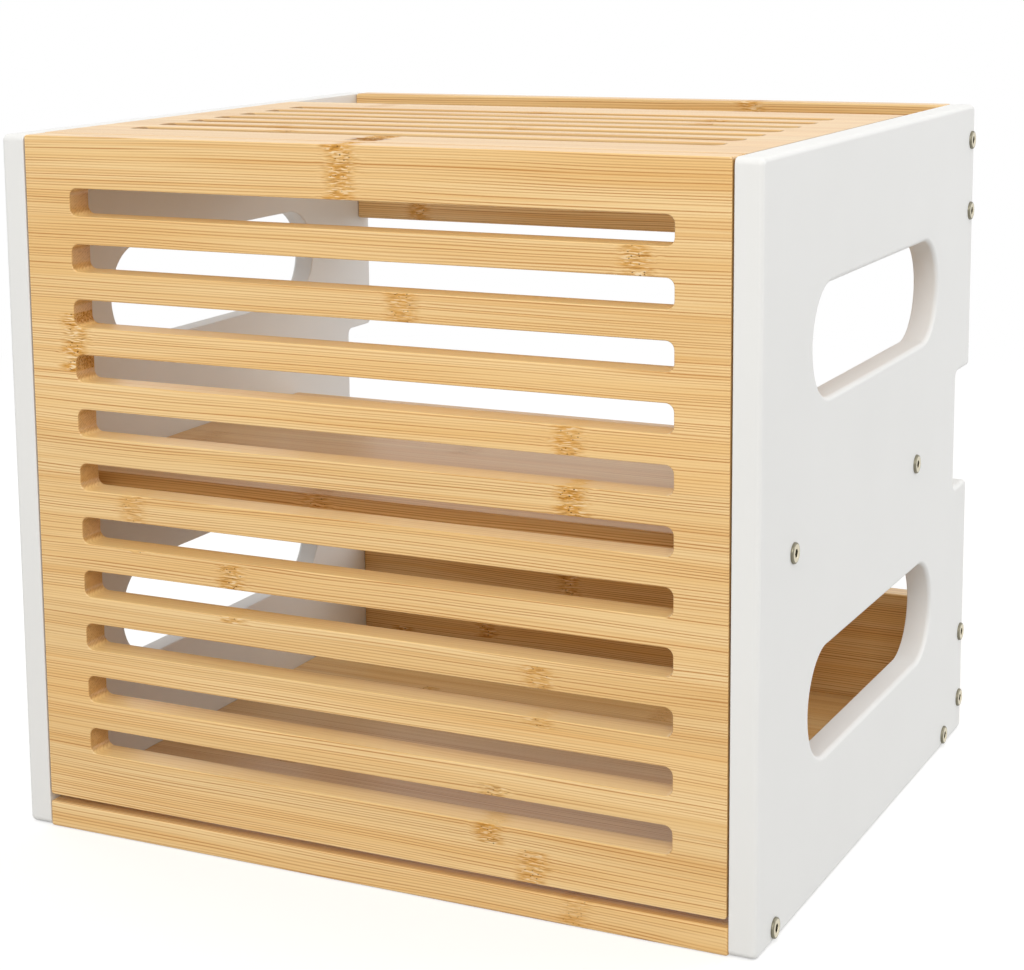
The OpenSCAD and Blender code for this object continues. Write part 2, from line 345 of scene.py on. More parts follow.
# %% [markdown]
# ## Milled slots
# The top and the door are single boards with a row of slots milled through them. The
# slots' corners have the radius of the milling bit, and their rims are eased. The slats
# could be modelled one by one and joined, but then the grain and the rims would break at
# every joint: one cutter with rounded corners is modelled, repeated, and cut out in one
# go. Only the slot rims are sharp after that, so they are easy to select. The boards' own
# edges stay crisp, because top and door meet at a fine seam.

# %% Milled slots
SLOT_LENGTH, SLOT_CORNER, SLATTED_EDGE = 239.4 * MM, 3 * MM, 0.4 * MM
HALF_CUT = 10 * MM  # half a cutter's length, well past half of any board


def mill_slots(board, through, first, width, count, pitch, rim):
    """Mills a row of slots; `first` is the middle of the first one."""
    half = Vector((SLOT_LENGTH / 2, width / 2, width / 2))
    half[through] = HALF_CUT
    cutter = blank("slot", first - half, first + half)
    round_over(cutter, SLOT_CORNER, runs_along(through), steps=6)
    step = Vector((0, 0, 0))
    step[Y if through == Z else Z] = pitch
    repeat(cutter, count, step)
    carve(board, cutter)
    round_over(board, rim, is_sharp, steps=3)
    print(f"{board.name}: {count} slots, every {pitch / MM:.1f} mm")


# %% [markdown]
# ## The top
# The top lies between the side panels, and its slots let warm air out. Hands reach
# over it, so the rims of its slots are rounder than the door's. Its front edge has two
# blind holes for the magnets that hold the door. They are cut last, because their
# mouths are drilled and stay sharp.

# %% Top panel
TOP_SLOTS, TOP_SLOT, TOP_MARGIN, TOP_RIM = 7, 10 * MM, 27 * MM, 1.1 * MM
MAGNET_RADIUS, MAGNET_SEAT, SEAT_GAP = 3 * MM, 4.5 * MM, 0.02 * MM
HOLE_SIDES = 48

low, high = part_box("top_panel")
top = eased_board("top_slatted", "top_panel", LYING, SLATTED_EDGE)
pitch = (high.y - low.y - 2 * TOP_MARGIN - TOP_SLOT) / (TOP_SLOTS - 1)
first = Vector((0, low.y + TOP_MARGIN + TOP_SLOT / 2, (low.z + high.z) / 2))
mill_slots(top, LYING, first, TOP_SLOT, TOP_SLOTS, pitch, TOP_RIM)
for side in ("left", "right"):
    m_low, m_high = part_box(side + "_catch_magnet")
    centre = (m_low + m_high) / 2
    carve(top, rod("seat", (centre.x, low.y - OVER, centre.z), (0, 1, 0),
                   MAGNET_SEAT + OVER, MAGNET_RADIUS + SEAT_GAP, HOLE_SIDES))
finish_mesh(top)
stand_for(top, "cabinet", "top_panel")

# %% [markdown]
# ## The door
# The door is a thicker board that stands in front of the shelf and turns on two pins at its
# lower corners. It rides on its own body, and the discs in its back ride with it. The bores and
# recesses could be painted on as dark spots, but they show when the door is open, so they are
# real holes.

# %% Front door
DOOR_SLOTS, DOOR_SLOT, DOOR_MARGIN, DOOR_RIM = 11, 10.4 * MM, 19.3 * MM, 0.5 * MM
BORE_RADIUS, BORE_DEPTH = 2.05 * MM, 12 * MM

low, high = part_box("front_door")
door = eased_board("door_slatted", "front_door", UPRIGHT, SLATTED_EDGE)
pitch = (high.z - low.z - 2 * DOOR_MARGIN - DOOR_SLOT) / (DOOR_SLOTS - 1)
first = Vector((0, (low.y + high.y) / 2, low.z + DOOR_MARGIN + DOOR_SLOT / 2))
mill_slots(door, UPRIGHT, first, DOOR_SLOT, DOOR_SLOTS, pitch, DOOR_RIM)
for side, sign in (("left", -1), ("right", 1)):
    s_low, s_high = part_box(side + "_strike_plate")
    centre = (s_low + s_high) / 2
    p_low, p_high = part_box(side + "_pivot_pin")
    pin = (p_low + p_high) / 2
    carve(door,
          rod("recess", (centre.x, s_low.y, centre.z), (0, 1, 0), s_high.y - s_low.y + OVER,
              MAGNET_RADIUS + SEAT_GAP, HOLE_SIDES),
          rod("bore", (sign * (high.x + OVER), pin.y, pin.z), (-sign, 0, 0), BORE_DEPTH + OVER,
              BORE_RADIUS, HOLE_SIDES))
finish_mesh(door)
stand_for(door, "door", "front_door")

# %% [markdown]
# ## The screws
# Low round heads with a hex socket stand just proud of the white panels. The head and
# the shank could be two cylinders stuck together, but one screw has one skin: a disc for
# the head, its rear face inset and extruded into the shank, its rim rounded, and a
# six-sided rod taken out for the key. One screw is modelled along X, to be copied.

# %% One screw
HEAD_RADIUS, HEAD_HEIGHT, HEAD_RIM = 3.75 * MM, 1 * MM, 0.6 * MM
SHANK_RADIUS, SHANK_LENGTH = 2 * MM, 34 * MM
SOCKET_RADIUS, SOCKET_DEPTH, SOCKET_EASE = 1.674 * MM, 2.2 * MM, 0.22 * MM
ROUND_SIDES, KEY_SIDES = 64, 6
FACES_BACK = -0.9
HEAD_FRONT = 0.9 * HEAD_HEIGHT


def on_head_front(edge):
    """A test for sharp edges in the front face of the head."""
    return is_sharp(edge) and min(v.co.x for v in edge.verts) > HEAD_FRONT


pattern = rod("screw", (0, 0, 0), (1, 0, 0), HEAD_HEIGHT, HEAD_RADIUS, ROUND_SIDES)
bpy.ops.object.mode_set(mode="EDIT")
bpy.ops.mesh.select_mode(type="FACE")
bpy.ops.mesh.select_all(action="DESELECT")
mesh = bmesh.from_edit_mesh(pattern.data)
for face in mesh.faces:
    face.select_set(face.normal.x < FACES_BACK)
bmesh.update_edit_mesh(pattern.data)
bpy.ops.mesh.inset(thickness=HEAD_RADIUS - SHANK_RADIUS, depth=0)
bpy.ops.mesh.extrude_region_move(TRANSFORM_OT_translate={"value": (-SHANK_LENGTH, 0, 0)})
bpy.ops.object.mode_set(mode="OBJECT")
round_over(pattern, HEAD_RIM, on_head_front, steps=5)
carve(pattern, rod("key", (HEAD_HEIGHT - SOCKET_DEPTH, 0, 0), (1, 0, 0), SOCKET_DEPTH + OVER,
                   SOCKET_RADIUS, KEY_SIDES))
round_over(pattern, SOCKET_EASE, on_head_front, steps=2)
finish_mesh(pattern)

# %% [markdown]
# ## Screws in pairs
# The shelf, the floor and both rear boards are held by two screws on each side. A linked
# copy would share one mesh, and the finish of a pair is chosen face by face later, so each
# copy gets a mesh of its own. A copy for the left side is turned half a circle, not
# mirrored, which keeps its faces pointing outwards.

# %% Screw pairs
screws = []
for side, sign in (("left", -1), ("right", 1)):
    for board in ("shelf", "bottom", "top_rail", "back_board"):
        node = f"{side}_{board}_screws"
        low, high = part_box(node)
        face_x = sign * (max(abs(low.x), abs(high.x)) - HEAD_HEIGHT)
        places = ((low.y + HEAD_RADIUS, low.z + HEAD_RADIUS),
                  (high.y - HEAD_RADIUS, high.z - HEAD_RADIUS))
        pair = []
        for y, z in places:
            solo(pattern)
            bpy.ops.object.duplicate()
            copy = bpy.context.active_object
            copy.location = (face_x, y, z)
            copy.rotation_euler = (0, 0, 0 if sign > 0 else math.pi)
            bpy.ops.object.transform_apply(location=True, rotation=True, scale=True)
            pair.append(copy)
        solo(pair[0])
        pair[1].select_set(True)
        bpy.ops.object.join()
        pair[0].name = pair[0].data.name = f"screws_{side}_{board}"
        stand_for(pair[0], "cabinet", node)
        screws.append((pair[0], places))
bpy.data.objects.remove(pattern)
print("screw pairs:", len(screws))

# %% [markdown]
# ## The hidden catch
# Two small magnets in the front edge of the top hold two steel discs let into the
# back of the door. They show when the door is open. Plain cylinders would catch no light
# on their rims, and plating and stamping never leave a true sharp edge, so the rims are
# eased a little. The pivot pins and the dowels keep their CAD meshes, which are already
# right.

# %% Magnets and strike plates
DISC_EASE = 0.3 * MM


def disc(name, node, body):
    """A small disc with eased rims, where its CAD node is."""
    low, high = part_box(node)
    centre = (low + high) / 2
    piece = rod(name, (centre.x, low.y, centre.z), (0, 1, 0), high.y - low.y, MAGNET_RADIUS,
                ROUND_SIDES)
    round_over(piece, DISC_EASE, is_sharp, steps=3)
    finish_mesh(piece)
    stand_for(piece, body, node)
    return piece


magnets = [disc("magnet_" + s, s + "_catch_magnet", "cabinet")
           for s in ("left", "right")]
strikes = [disc("strike_" + s, s + "_strike_plate", "door")
           for s in ("left", "right")]

# %% [markdown]
# ## Colours
# Colours are written as sRGB hex values, as a paint chart gives them. The renderer works
# with linear values. Those could be typed in directly, but nobody can read them as colours,
# so one function turns the one into the other, by the sRGB standard's own curve.

# %% Colours


def colour(code):
    """Linear RGBA from an sRGB hex value."""
    parts = [int(code[i:i + 2], 16) / 255 for i in (1, 3, 5)]
    return [c / 12.92 if c <= 0.04045 else ((c + 0.055) / 1.055) ** 2.4 for c in parts] + [1.0]


print("half grey in linear light:", round(colour("#808080")[0], 3))

# %% [markdown]
# ## Nodes
# A finish is a tree of nodes. Nodes could be placed by hand in the editor, but a script can
# be read from top to bottom. One function adds any node: its settings by name, and its
# inputs as plain values or as links to other nodes.

# %% Nodes
# A Mix node keeps its two colours and their mixture at these places.
MIX_A, MIX_B, MIXED = 6, 7, 2


def add(tree, kind, inputs=None, **settings):
    """Adds one node; an input is a value, a socket, or a node whose first output is used."""
    made = tree.nodes.new("ShaderNode" + kind)
    for name, value in settings.items():
        setattr(made, name, value)
    for key, value in (inputs or {}).items():
        if isinstance(value, bpy.types.Node):
            value = value.outputs[0]
        if isinstance(value, bpy.types.NodeSocket):
            tree.links.new(value, made.inputs[key])
        else:
            made.inputs[key].default_value = value
    return made


def new_material(name):
    """An empty material, and its tree of nodes."""
    made = bpy.data.materials.new(name)
    made.use_nodes = True
    made.node_tree.nodes.clear()
    return made, made.node_tree


def dress(piece, material):
    """Gives a piece one material."""
    piece.data.materials.clear()
    piece.data.materials.append(material)


# %% [markdown]
# ## Laminated bamboo
# Bamboo board is pressed from strips of split cane, here about 22 mm wide and laid
# along X. Wherever the cane had a joint, a strip shows a knuckle. An image could show
# all this, but a solid pattern built from Object coordinates runs through the board as
# the real grain does, so slot walls and edges match the faces. First the strips are
# drawn by lot, each with a knuckle and a tone.

# %% Strips
# All sizes in the grain are in millimetres.
STRIP = 22.3
KNUCKLE_REACH, FAINT_KNUCKLE = 130, 0.3


def strips_of(seed, low, high, known):
    """Strips across a board, as (start, knuckle place, knuckle strength, tone), in mm.

    known gives the place and strength of some knuckles, by strip from the high edge down.
    """
    draw = random.Random(seed)
    strips, start = [], high
    for index in range(math.ceil((high - low) / STRIP)):
        start -= STRIP
        place = draw.uniform(-KNUCKLE_REACH, KNUCKLE_REACH)
        strength, tone = draw.uniform(FAINT_KNUCKLE, 1.0), draw.random()
        place, strength = known.get(index, (place, strength))
        strips.insert(0, (start, place, strength, tone))
    return strips


# %% [markdown]
# ## A table of strips
# A material can't read a list, and a Math node for every strip would be a tangle. A
# colour ramp with hard steps works as a small table instead: the place across the board
# picks a strip, and red, green and blue give its knuckle's place, its strength and the
# strip's tone.

# %% Strip table
GRAIN_REACH = 150.0  # knuckle places are written between this and its opposite, in mm
STRONGEST = 2.2


def strip_table(tree, across, low, high, strips):
    """Knuckle place, knuckle strength and tone of the strip that a point lies in."""
    share = add(tree, "MapRange", {"Value": across, "From Min": low, "From Max": high})
    ramp = add(tree, "ValToRGB", {0: share})
    ramp.color_ramp.interpolation = "CONSTANT"
    steps = ramp.color_ramp.elements
    steps.remove(steps[1])
    for index, (start, place, strength, tone) in enumerate(strips):
        where = max(0.0, (start - low) / (high - low))
        step = steps[0] if index == 0 else steps.new(where)
        step.position = where
        step.color = (place / (2 * GRAIN_REACH) + 0.5, strength / STRONGEST, tone, 1)
    facts = add(tree, "SeparateColor", {0: ramp})
    place = add(tree, "MapRange", {"Value": facts.outputs[0], "To Min": -GRAIN_REACH,
                                   "To Max": GRAIN_REACH})
    strength = add(tree, "Math", {0: facts.outputs[1], 1: STRONGEST}, operation="MULTIPLY")
    return place, strength, facts.outputs[2]


# %% [markdown]
# ## Knuckles
# A knuckle could be drawn as a shape, but a real one has no outline: its marks thin out
# along the strip. So it is a set of masks that fade with the distance from it, along a
# ragged line. The heart holds pores, the core strokes and a stain, and the halo is as far
# as fibres waver. A knuckle stronger than 1 also has a dark knot along one side of its
# strip.

# %% Knuckle masks
# Every pattern gives its features per millimetre along, across and through the board.
RAGGED, LEAN = (0.02, 0.3, 0.3), 5.0
FADES = {"heart": (2.5, 5.0), "core": (2.0, 8.0), "halo": (2.0, 14.0)}
KNOT_MIDDLE, KNOT_HALF = 0.7, 0.22


def knuckle_masks(tree, point, place, strength, high):
    """Masks around the knuckle of a point's strip, and the ragged noise they follow."""
    axes = add(tree, "SeparateXYZ", {0: point})
    stretched = add(tree, "VectorMath", {0: point, 1: RAGGED}, operation="MULTIPLY")
    ragged = add(tree, "TexNoise", {"Vector": stretched, "Scale": 1.0, "Detail": 2.0})
    away = add(tree, "Math", {0: axes.outputs["X"], 1: place}, operation="SUBTRACT")
    lean = add(tree, "MapRange", {"Value": ragged, "To Min": -LEAN, "To Max": LEAN})
    away = add(tree, "Math", {0: away, 1: lean}, operation="ADD")
    away = add(tree, "Math", {0: away}, operation="ABSOLUTE")
    near = {}
    for kind, (inner, outer) in FADES.items():
        fade = add(tree, "MapRange", {"Value": away, "From Min": inner, "From Max": outer,
                                      "To Min": 1.0, "To Max": 0.0},
                   interpolation_type="SMOOTHSTEP")
        near[kind] = add(tree, "Math", {0: fade, 1: strength}, operation="MULTIPLY")
    share = add(tree, "Math", {0: axes.outputs["Y"], 1: -1 / STRIP, 2: high / STRIP},
                operation="MULTIPLY_ADD")
    share = add(tree, "Math", {0: share}, operation="FRACT")
    row = add(tree, "Math", {0: share, 1: KNOT_MIDDLE, 2: KNOT_HALF}, operation="COMPARE")
    excess = add(tree, "Math", {0: near["halo"], 1: 1.0}, operation="SUBTRACT", use_clamp=True)
    near["knot"] = add(tree, "Math", {0: excess, 1: row}, operation="MULTIPLY")
    return near, ragged


# %% [markdown]
# ## The run of the grain
# Fibres drift gently along a board and waver beside a knuckle. Each pattern could be bent
# by itself, but then lines, streaks and pores would part company: the point that they all
# read is pushed sideways once, and every pattern follows.

# %% Bent grain
DRIFT, DRIFT_BY = (0.005, 0.02, 0.02), 2.0
WAVER, WAVER_BY = (0.2, 0.6, 0.6), 0.6


def bent_point(tree, point, halo):
    """The point, pushed sideways by as far as the grain drifts and wavers there."""
    push = []
    for stretch, most in ((DRIFT, DRIFT_BY), (WAVER, WAVER_BY)):
        stretched = add(tree, "VectorMath", {0: point, 1: stretch}, operation="MULTIPLY")
        noise = add(tree, "TexNoise", {"Vector": stretched, "Scale": 1.0, "Detail": 2.0})
        push.append(add(tree, "MapRange", {"Value": noise, "To Min": -most, "To Max": most}))
    waver = add(tree, "Math", {0: push[1], 1: halo}, operation="MULTIPLY")
    sideways = add(tree, "Math", {0: push[0], 1: waver}, operation="ADD")
    sideways = add(tree, "CombineXYZ", {"Y": sideways, "Z": sideways})
    return add(tree, "VectorMath", {0: point, 1: sideways}, operation="ADD")


# %% [markdown]
# ## Noises in the grain
# Cane grows in long threads, so each pattern in it is a noise stretched far along X. A Wave
# texture could draw the bands, but it repeats itself, and a noise doesn't. Pores and cut
# fibres are small round spots, which a Voronoi texture gives as the distance to scattered
# points.

# %% Grain noises
# Each noise: its features per millimetre, and how much finer detail it has.
NOISES = {"spread": ((0.0025, 0.3, 0.3), 2.0), "lines": ((0.005, 0.9, 0.9), 1.0),
          "streaks": ((0.004, 0.4, 0.4), 2.0), "bands": ((0.004, 0.13, 0.13), 2.0),
          "strokes": ((0.22, 2.4, 2.4), 1.0)}
PORES, DOTS = (0.5, 0.8, 0.8), (0.1, 1.1, 1.1)


def grain_fields(tree, point, bent):
    """The noises that the marks are made from; only the dots of cut ends stay unbent."""
    field = {}
    for kind, (stretch, detail) in NOISES.items():
        stretched = add(tree, "VectorMath", {0: bent, 1: stretch}, operation="MULTIPLY")
        field[kind] = add(tree, "TexNoise", {"Vector": stretched, "Scale": 1.0,
                                             "Detail": detail})
    for kind, where, stretch in (("pores", bent, PORES), ("dots", point, DOTS)):
        stretched = add(tree, "VectorMath", {0: where, 1: stretch}, operation="MULTIPLY")
        field[kind] = add(tree, "TexVoronoi", {"Vector": stretched, "Scale": 1.0})
    return field


# %% [markdown]
# ## Fibres
# Bamboo's fibres are long lines about a millimetre apart. A noise alone gives blurred,
# broken lines, so they are a sine wave across the grain, which one slow noise spaces
# unevenly and another makes bolder or fainter. The wave is slanted through the board, so
# that slot walls and edges get lines too.

# %% Fibres
FIBRE, FIBRE_SPREAD = 1.0, 10.0
SLANT_UPRIGHT, SLANT_LYING = 0.45, 0.9
LINE_FROM, BOLD_FROM, BOLD_AT, FAINT_LINE = -0.2, 0.35, 0.65, 0.2


def fibre_lines(tree, bent, field, upright):
    """A wave across the grain, unevenly spaced, with some lines bolder than others."""
    slant = SLANT_UPRIGHT if upright else SLANT_LYING
    across = add(tree, "VectorMath", {0: bent, 1: (0, 1, slant)}, operation="DOT_PRODUCT")
    phase = add(tree, "Math", {0: across.outputs["Value"], 1: 2 * math.pi / FIBRE},
                operation="MULTIPLY")
    shift = add(tree, "Math", {0: field["spread"], 1: FIBRE_SPREAD}, operation="MULTIPLY")
    phase = add(tree, "Math", {0: phase, 1: shift}, operation="ADD")
    wave = add(tree, "Math", {0: phase}, operation="SINE")
    wave = add(tree, "MapRange", {"Value": wave, "From Min": LINE_FROM, "From Max": 1.0})
    bold = add(tree, "MapRange", {"Value": field["lines"], "From Min": BOLD_FROM,
                                  "From Max": BOLD_AT, "To Min": FAINT_LINE, "To Max": 1.0})
    return add(tree, "Math", {0: wave, 1: bold}, operation="MULTIPLY")


# %% [markdown]
# ## Marks of the grain
# The straw tone of a strip shifts in broad bands, and darker streaks and fibres lie over
# it. A knuckle adds an amber stain, short dark and pale strokes and a few pores. One ramp
# through one noise would tie all these together, so each mark is cut out of its own noise
# as a mask, and the marks of a knuckle are kept to the knuckle.

# %% Marks
# Each mark: its noise, where in that noise it starts and is full, its most, and its mask.
MARKS = {"tone": ("bands", 0.35, 0.65, 1.0, None),
         "lines": ("lines", 0.0, 1.0, 0.95, None),
         "streaks": ("streaks", 0.46, 0.32, 0.4, None),
         "stain": ("ragged", 0.25, 0.6, 0.8, "core"),
         "dark": ("strokes", 0.47, 0.34, 0.6, "core"),
         "fleck": ("strokes", 0.54, 0.66, 0.7, "core"),
         "pores": ("pores", 0.22, 0.12, 0.9, "heart"),
         "knot": ("strokes", 0.7, 0.4, 2.0, "knot"),
         "dots": ("dots", 0.6, 0.3, 1.0, None)}


def grain_marks(tree, field, near):
    """One mask for each mark, faded by where it belongs."""
    mark = {}
    for kind, (noise, start, full, most, mask) in MARKS.items():
        mark[kind] = add(tree, "MapRange", {"Value": field[noise], "From Min": start,
                                            "From Max": full, "To Max": most})
        if mask:
            mark[kind] = add(tree, "Math", {0: mark[kind], 1: near[mask]}, operation="MULTIPLY")
    return mark


# %% [markdown]
# ## Colours of the grain
# One colour ramp could hold all tints, but marks lie over each other on wood as stains do.
# So the tints are laid on one by one, from the broadest mark to the smallest. Each strip is
# then made a little paler or darker as a whole, because no two canes dry alike.

# %% Grain colours
BAMBOO_LIGHT, BAMBOO_MID, BAMBOO_DARK = "#EFCE95", "#E8BF7E", "#97642A"
TINTS = {"streaks": "#DBA55A", "lines": "#B97D38", "stain": "#D2953E", "dark": BAMBOO_DARK,
         "fleck": "#F8E6C0", "pores": "#5E3A16", "knot": BAMBOO_DARK}
DARKEST_STRIP, PALEST_STRIP = 0.96, 1.03


def grain_colour(tree, mark, tone):
    """The colour of a board's face."""
    paint = add(tree, "Mix", {0: mark["tone"], MIX_A: colour(BAMBOO_LIGHT),
                              MIX_B: colour(BAMBOO_MID)}, data_type="RGBA")
    for kind, tint in TINTS.items():
        paint = add(tree, "Mix", {0: mark[kind], MIX_A: paint.outputs[MIXED],
                                  MIX_B: colour(tint)}, data_type="RGBA")
    shade = add(tree, "MapRange", {"Value": tone, "To Min": DARKEST_STRIP,
                                   "To Max": PALEST_STRIP})
    return add(tree, "HueSaturation", {"Value": shade, "Color": paint.outputs[MIXED]}).outputs[0]


# %% [markdown]
# ## Slot walls
# The walls that look up in an upright board lie in the shade of the bar above, and are painted
# paler: painted light. In the top, the walls that face front or rear, and its front edge at the
# seam, are painted darker: painted shade. These could be material slots on chosen faces, but a
# rounded rim needs a soft change, so a mask made from the surface's own direction does it.

# %% Slot walls
# Painted light that pales the shaded slot floors of an upright board, and painted shade that
# darkens the slot walls and ends of the top.
BAMBOO_PAINTED_LIGHT, BAMBOO_PAINTED_SHADE = "#FBDB98", "#6E4A24"
WALL_FROM, WALL_FULL, PAINTED_LIGHT_MOST = 0.5, 0.9, 0.7
BORDER = 10.0  # the top edge of an upright board is out of the bars' shade, so it gets no painted light


def wall_colour(tree, paint, facing, point, upright, high, painted_shade):
    """Painted light on walls that look up in an upright board, painted shade on walls in a lying
    one.
    """
    if upright:
        across = add(tree, "SeparateXYZ", {0: point}).outputs["Y"]
        below = add(tree, "Math", {0: across, 1: high - BORDER}, operation="LESS_THAN")
        wall = add(tree, "Math", {0: facing.outputs["Z"], 1: below}, operation="MULTIPLY")
        # Painted light: the shaded floors of the slots are made paler.
        tint, most = BAMBOO_PAINTED_LIGHT, PAINTED_LIGHT_MOST
    else:
        wall = add(tree, "Math", {0: facing.outputs["Y"]}, operation="ABSOLUTE")
        # Painted shade: in the top, walls that face front or rear, and its front edge at the
        # seam, are darkened.
        tint, most = BAMBOO_PAINTED_SHADE, painted_shade
    wall = add(tree, "MapRange", {"Value": wall, "From Min": WALL_FROM, "From Max": WALL_FULL,
                                  "To Max": most})
    return add(tree, "Mix", {0: wall, MIX_A: paint, MIX_B: colour(tint)},
               data_type="RGBA").outputs[MIXED]


# %% [markdown]
# ## Cut ends
# Where a strip is cut across, its fibres show head on: dots in a darker ground, closer together
# at a knuckle. Dots drawn on every face would be simpler, but they belong to the ends alone, so
# a mask keeps them there. In the top, the ground of the ends is painted shade, the colour of its
# shaded slot walls, and there the dark begins on the rounded rim.

# %% Cut ends
BAMBOO_END = "#C99D5F"
END_FROM, END_FULL, END_MOST = 0.6, 0.9, 0.7
# Where painted shade darkens the ends, it starts further round the rim.
PAINTED_SHADE_FROM, PAINTED_SHADE_FULL = 0.2, 0.5
FEW_DOTS = 0.35


def end_colour(tree, paint, facing, dots, core, painted_shade):
    """Cut ends with the fibres as dots, which crowd together at a knuckle."""
    ends = add(tree, "Math", {0: facing.outputs["X"]}, operation="ABSOLUTE")
    ends = add(tree, "MapRange", {"Value": ends, "From Min": PAINTED_SHADE_FROM if painted_shade else END_FROM,
                                  "From Max": PAINTED_SHADE_FULL if painted_shade else END_FULL,
                                  "To Max": END_MOST}, interpolation_type="SMOOTHSTEP")
    crowd = add(tree, "MapRange", {"Value": core, "To Min": FEW_DOTS, "To Max": 1.0})
    dots = add(tree, "Math", {0: dots, 1: crowd}, operation="MULTIPLY")
    # In the top, the ground of the ends is the painted shade colour.
    tint = BAMBOO_PAINTED_SHADE if painted_shade else BAMBOO_END
    end_paint = add(tree, "Mix", {0: dots, MIX_A: colour(tint), MIX_B: colour(BAMBOO_DARK)},
                    data_type="RGBA")
    return add(tree, "Mix", {0: ends, MIX_A: paint, MIX_B: end_paint.outputs[MIXED]},
               data_type="RGBA").outputs[MIXED]


# %% [markdown]
# ## The bamboo itself
# Now the steps come together in one material for each board, because a board's strips are
# its own. A satin lacquer lies over the grain. It fills the fibres until they can just be
# felt, so they get a shallow bump and a little more roughness. At a knuckle the lacquer
# sinks in, and the gloss is lost.

# %% Bamboo material
LACQUER_IOR, LACQUER_GLOSS, LACQUER_FILLED, LACQUER_ON_LINES = 1.5, 0.5, 0.3, 0.42
FIBRE_FELT, FIBRE_DEPTH = 0.2, 0.05 * MM


def bamboo(name, upright, low, high, strips, painted_shade):
    """Lacquered bamboo for one board: straw-coloured, finely lined, with a soft shine.

    low and high are the board's reach across its strips, in mm; the last argument is how much
    painted shade darkens its slot walls and ends, from 0 to 1.
    """
    made, tree = new_material(name)
    origin = add(tree, "TexCoord")
    facing = add(tree, "SeparateXYZ", {0: origin.outputs["Normal"]})
    # Millimetres, with the grain along X and the strips side by side along Y.
    point = add(tree, "Mapping", {"Vector": origin.outputs["Object"],
                                  "Rotation": (-math.pi / 2 if upright else 0, 0, 0),
                                  "Scale": (1 / MM, 1 / MM, 1 / MM)})
    across = add(tree, "SeparateXYZ", {0: point}).outputs["Y"]
    place, strength, tone = strip_table(tree, across, low, high, strips)
    near, ragged = knuckle_masks(tree, point, place, strength, high)
    bent = bent_point(tree, point, near["halo"])
    field = grain_fields(tree, point, bent)
    field["ragged"] = ragged
    field["lines"] = fibre_lines(tree, bent, field, upright)
    mark = grain_marks(tree, field, near)
    paint = grain_colour(tree, mark, tone)
    paint = wall_colour(tree, paint, facing, point, upright, high, painted_shade)
    paint = end_colour(tree, paint, facing, mark["dots"], near["core"], painted_shade)
    bump = add(tree, "Bump", {"Height": mark["lines"], "Strength": FIBRE_FELT,
                              "Distance": FIBRE_DEPTH}, invert=True)
    rough = add(tree, "MapRange", {"Value": mark["lines"], "To Min": LACQUER_FILLED,
                                   "To Max": LACQUER_ON_LINES})
    gloss = add(tree, "MapRange", {"Value": near["core"], "To Min": LACQUER_GLOSS,
                                   "To Max": 0.0})
    shader = add(tree, "BsdfPrincipled", {"Base Color": paint, "Roughness": rough,
                                          "Normal": bump, "IOR": LACQUER_IOR,
                                          "Specular IOR Level": gloss})
    add(tree, "OutputMaterial", {"Surface": shader})
    return made


# %% [markdown]
# ## Dressing the boards
# Strips come from a seeded draw, so they are the same on every run. Left to the draw alone,
# the knuckles would fall anywhere, so those that stand out on the door, the top, the shelf
# and the floor are given their own places in millimetres from the middle, counted by strip
# from the top or rear edge, each with its strength.

# %% Bamboo boards
DOOR_KNUCKLES = {0: (-4.5, 1.0), 1: (106, 0.9), 2: (19.6, 0.8), 3: (-119.5, 1.0), 4: (82, 0.8),
                 5: (83.5, 1.0), 6: (-96, 0.6), 7: (-54, 0.9), 8: (70, 0.7), 9: (-20, 0.0),
                 10: (51, 0.9), 11: (68, 0.8)}
TOP_KNUCKLES = {6: (-57, 0.6), 7: (-6, 2.2)}
SHELF_KNUCKLES, FLOOR_KNUCKLES = {7: (-31.5, 0.7)}, {11: (84, 0.5)}
# The top's slot walls and ends get this much painted shade; the other boards get none.
TOP_PAINTED_SHADE, NO_PAINTED_SHADE = 0.35, 0.0
FIRST_SEED = 20

for index, (piece, upright, known, painted_shade) in enumerate((
        (door, True, DOOR_KNUCKLES, NO_PAINTED_SHADE), (top, False, TOP_KNUCKLES, TOP_PAINTED_SHADE),
        (plain_boards["floor_board"], False, FLOOR_KNUCKLES, NO_PAINTED_SHADE),
        (plain_boards["shelf"], False, SHELF_KNUCKLES, NO_PAINTED_SHADE),
        (plain_boards["rail_rear"], True, {}, NO_PAINTED_SHADE),
        (plain_boards["board_rear"], True, {}, NO_PAINTED_SHADE))):
    reach = [corner[Z if upright else Y] / MM for corner in piece.bound_box]
    strips = strips_of(FIRST_SEED + index, min(reach), max(reach), known)
    dress(piece, bamboo("bamboo_" + piece.name, upright, min(reach), max(reach), strips, painted_shade))
    print(f"{piece.name}: {len(strips)} strips of bamboo")

# %% [markdown]
# ## Satin white paint
# The side panels are board sprayed with a satin white enamel. A plain white would look
# like plastic. Sprayed paint dries with a very fine, soft ripple, and it is never quite
# even in tone. Both are hardly seen as patterns, but they break up the shine. A real
# ripple is finer than this one, which is drawn at 1.5 mm so that it shows at all.

# %% White paint
PAINT_WHITE, PAINT_SHADE = "#E8E8E6", "#E4E4E2"
PAINT_IOR, PAINT_SMOOTHER, PAINT_ROUGHER = 1.5, 0.48, 0.56
RIPPLE, RIPPLE_FELT, RIPPLE_DEPTH = 1.5 * MM, 0.08, 0.05 * MM
CLOUD = 60.0 * MM

